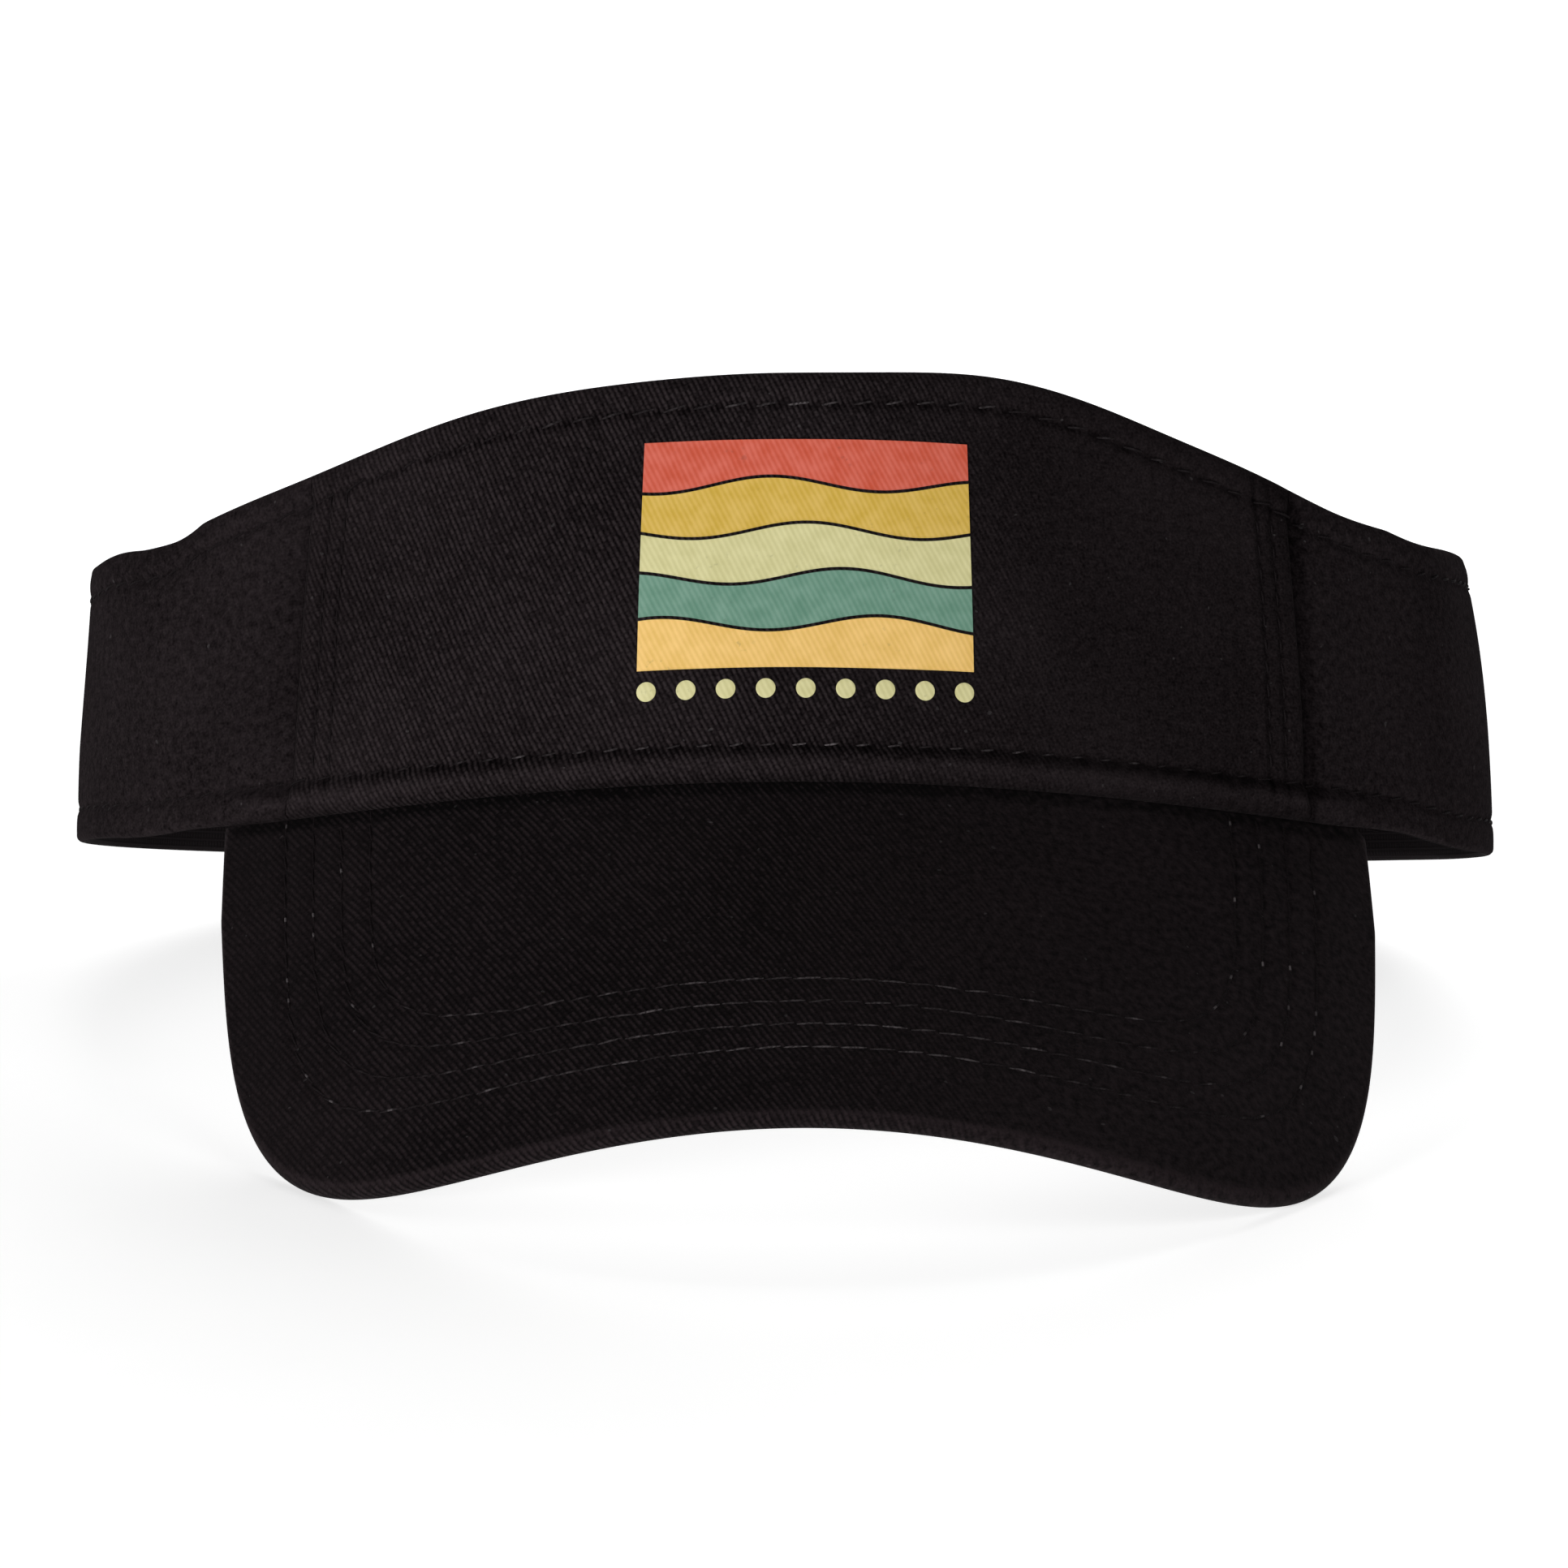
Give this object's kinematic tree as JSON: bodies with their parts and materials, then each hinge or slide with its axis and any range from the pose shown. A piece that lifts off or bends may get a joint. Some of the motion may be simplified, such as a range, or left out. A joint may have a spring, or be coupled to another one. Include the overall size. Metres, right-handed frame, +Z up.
{
  "type": "sun visor",
  "caption": "Open-topped sun visor: a black twill head band with a terry sweatband, a curved stiffened bill and a hook-and-loop strap that sets it to the head.",
  "frame": {"origin": "middle of the visor's footprint on the table that it rests on", "axes": "+Z up from the table, -Y to the front of the bill, +X to the right of someone who looks at the front; the ring of the band is tipped back by 15.9 degrees about X"},
  "size_m": [0.211, 0.223, 0.1048],
  "materials": {
    "twill": "black brushed cotton twill",
    "lining": "plain black cotton",
    "interlining": "stiff white buckram",
    "seam_tape": "black woven tape",
    "terry": "black cotton terry",
    "board": "moulded sheet",
    "loop": "brushed loop pile",
    "hook": "woven tape with nylon hooks",
    "red_film": "matt heat-pressed film",
    "gold_film": "matt heat-pressed film",
    "cream_film": "matt heat-pressed film",
    "teal_film": "matt heat-pressed film",
    "amber_film": "matt heat-pressed film"
  },
  "bodies": {
    "visor": {"front_panel": "twill", "front_interlining": "interlining", "front_lining": "lining", "left_side_panel": "twill", "right_side_panel": "twill", "left_side_lining": "lining", "right_side_lining": "lining", "left_seam_tape": "seam_tape", "right_seam_tape": "seam_tape", "sweatband": "terry", "bill_top_cover": "twill", "bill_board": "board", "bill_under_cover": "twill", "loop_tape": "loop", "print_red_wave": "red_film", "print_gold_wave": "gold_film", "print_cream_wave": "cream_film", "print_teal_wave": "teal_film", "print_amber_wave": "amber_film", "print_dots": "cream_film"},
    "strap": {"strap_base": "twill"},
    "tab": {"strap_tab": "twill", "hook_tape": "hook"}
  },
  "joints": [
    {"name": "closure_slide", "type": "hinge", "parent": "visor", "child": "strap", "pos_m": [0, -0.01752, 0.03371], "axis": [0, 0.2745, 0.9616], "range_deg": [-9.32, 9.32]},
    {"name": "tab_peel", "type": "hinge", "parent": "strap", "child": "tab", "pos_m": [0.02304, 0.10273, -0.00029], "axis": [0.0133, -0.2045, -0.9788], "range_deg": [0, 120]}
  ]
}
